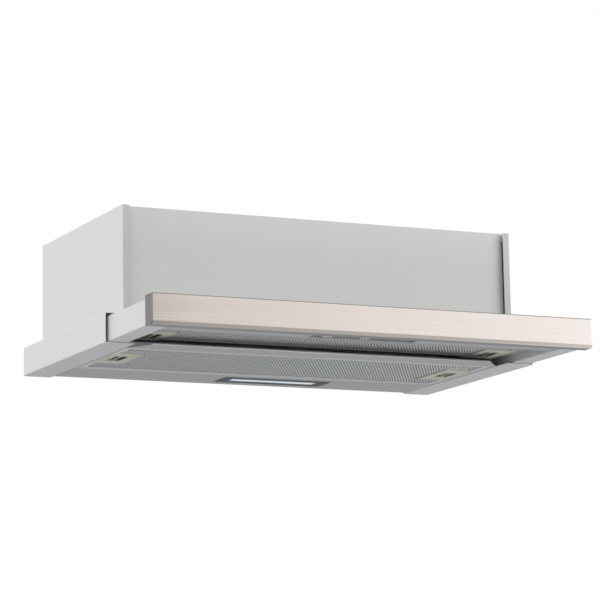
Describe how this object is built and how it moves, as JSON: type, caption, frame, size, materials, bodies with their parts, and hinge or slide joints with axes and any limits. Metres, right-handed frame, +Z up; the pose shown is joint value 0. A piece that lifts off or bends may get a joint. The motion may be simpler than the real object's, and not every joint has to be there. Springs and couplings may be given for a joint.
{
  "type": "under cabinet range hood",
  "caption": "Slide-out under cabinet range hood with a brushed front profile, pulled-out drawer, mesh grease filters, lamp, blower and round duct outlet.",
  "frame": {"origin": "centre of the four cabinet screw holes, on the upper face of the top plate", "axes": "+Z up, the front and the drawer's pull direction are -Y, the wall is at +Y, X is left to right"},
  "size_m": [0.598, 0.445, 0.1968],
  "materials": {
    "casing_steel": "satin silver-grey lacquer on folded steel",
    "side_panel_steel": "satin silver-grey lacquer on folded steel",
    "front_steel": "satin grey lacquer on folded steel",
    "profile_steel": "horizontally brushed stainless steel",
    "underside_steel": "satin grey lacquer on folded steel",
    "galvanised": "galvanised steel",
    "zinc": "bright zinc plate",
    "profile_back_steel": "dark grey lacquer on folded steel",
    "filter_aluminium": "anodised aluminium",
    "filter_mesh": "layered expanded aluminium",
    "latch_plastic": "olive-grey moulded plastic",
    "latch_recess_plastic": "olive-grey moulded plastic",
    "control_plastic": "dark grey moulded plastic",
    "knob_plastic": "light grey moulded plastic",
    "black_plastic": "black moulded plastic",
    "blower_plastic": "grey moulded plastic",
    "lamp_bezel": "dark grey moulded plastic",
    "lamp_lens": "ribbed opal plastic",
    "circuit_board": "white solder mask",
    "motor_steel": "black enamelled steel"
  },
  "bodies": {
    "hood": {"body_side_left": "side_panel_steel", "body_side_right": "side_panel_steel", "body_front": "front_steel", "body_back": "galvanised", "top_plate": "galvanised", "base_side_left": "casing_steel", "base_side_right": "casing_steel", "base_rear_panel": "underside_steel", "front_rail": "underside_steel", "runner_outer_left": "galvanised", "runner_outer_right": "galvanised", "duct_collar": "black_plastic", "damper_pin": "zinc", "scroll_left": "blower_plastic", "scroll_right": "blower_plastic", "motor": "motor_steel", "motor_bearings": "zinc", "motor_bracket": "galvanised", "capacitor": "blower_plastic", "terminal_box": "black_plastic", "terminal_box_lid": "black_plastic", "terminal_block": "blower_plastic", "cable_gland": "black_plastic", "lamp_housing": "lamp_bezel", "lamp_lens": "lamp_lens", "led_board": "circuit_board", "lamp_driver": "black_plastic", "casing_screws": "zinc"},
    "fan": {"impeller": "blower_plastic", "motor_shaft": "zinc"},
    "front_flap": {"damper_flap_front": "black_plastic"},
    "rear_flap": {"damper_flap_rear": "black_plastic"},
    "drawer": {"front_profile": "profile_steel", "profile_back": "profile_back_steel", "drawer_side_left": "casing_steel", "drawer_side_right": "casing_steel", "drawer_tray": "underside_steel", "drawer_cover": "galvanised", "runner_inner_left": "galvanised", "runner_inner_right": "galvanised", "control_panel": "control_plastic", "light_switch": "black_plastic", "speed_switch": "black_plastic", "drawer_screws": "zinc"},
    "light_knob": {"light_slider": "knob_plastic"},
    "speed_knob": {"speed_slider": "knob_plastic"},
    "rear_filter": {"rear_filter_frame": "filter_aluminium", "rear_filter_mesh": "filter_mesh", "rear_latch_springs": "zinc", "rear_latch_housing_left": "latch_plastic", "rear_latch_housing_right": "latch_plastic"},
    "rear_latch_left_slide": {"rear_latch_left": "latch_recess_plastic"},
    "rear_latch_right_slide": {"rear_latch_right": "latch_recess_plastic"},
    "drawer_filter": {"drawer_filter_frame": "filter_aluminium", "drawer_filter_mesh": "filter_mesh", "drawer_latch_springs": "zinc", "drawer_latch_housing_left": "latch_plastic", "drawer_latch_housing_right": "latch_plastic"},
    "drawer_latch_left_slide": {"drawer_latch_left": "latch_recess_plastic"},
    "drawer_latch_right_slide": {"drawer_latch_right": "latch_recess_plastic"}
  },
  "joints": [
    {"name": "drawer_slide", "type": "slide", "parent": "hood", "child": "drawer", "axis": [0, 1, 0], "range_m": [0, 0.128]},
    {"name": "fan_spin", "type": "hinge", "parent": "hood", "child": "fan", "pos_m": [0, 0.073, -0.072], "axis": [1, 0, 0], "continuous": true},
    {"name": "front_flap_hinge", "type": "hinge", "parent": "hood", "child": "front_flap", "pos_m": [0, 0.035, 0.006], "axis": [-1, 0, 0], "range_deg": [0, 75]},
    {"name": "rear_flap_hinge", "type": "hinge", "parent": "hood", "child": "rear_flap", "pos_m": [0, 0.035, 0.006], "axis": [1, 0, 0], "range_deg": [0, 75]},
    {"name": "rear_filter_drop", "type": "slide", "parent": "hood", "child": "rear_filter", "axis": [0, 0, 1], "range_m": [-0.06, 0]},
    {"name": "drawer_filter_tilt", "type": "hinge", "parent": "drawer", "child": "drawer_filter", "pos_m": [0, -0.102, -0.155], "axis": [-1, 0, 0], "range_deg": [-7, 0]},
    {"name": "light_switch_slide", "type": "slide", "parent": "drawer", "child": "light_knob", "axis": [1, 0, 0], "range_m": [0, 0.008]},
    {"name": "speed_switch_slide", "type": "slide", "parent": "drawer", "child": "speed_knob", "axis": [1, 0, 0], "range_m": [0, 0.024]},
    {"name": "rear_latch_left_pull", "type": "slide", "parent": "rear_filter", "child": "rear_latch_left_slide", "axis": [1, 0, 0], "range_m": [0, 0.005], "stiffness_N_per_m": 300, "springref_m": -0.006, "deforming": ["rear_latch_springs"]},
    {"name": "rear_latch_right_pull", "type": "slide", "parent": "rear_filter", "child": "rear_latch_right_slide", "axis": [-1, 0, 0], "range_m": [0, 0.005], "stiffness_N_per_m": 300, "springref_m": -0.006, "deforming": ["rear_latch_springs"]},
    {"name": "drawer_latch_left_pull", "type": "slide", "parent": "drawer_filter", "child": "drawer_latch_left_slide", "axis": [1, 0, 0], "range_m": [0, 0.005], "stiffness_N_per_m": 300, "springref_m": -0.006, "deforming": ["drawer_latch_springs"]},
    {"name": "drawer_latch_right_pull", "type": "slide", "parent": "drawer_filter", "child": "drawer_latch_right_slide", "axis": [-1, 0, 0], "range_m": [0, 0.005], "stiffness_N_per_m": 300, "springref_m": -0.006, "deforming": ["drawer_latch_springs"]}
  ]
}
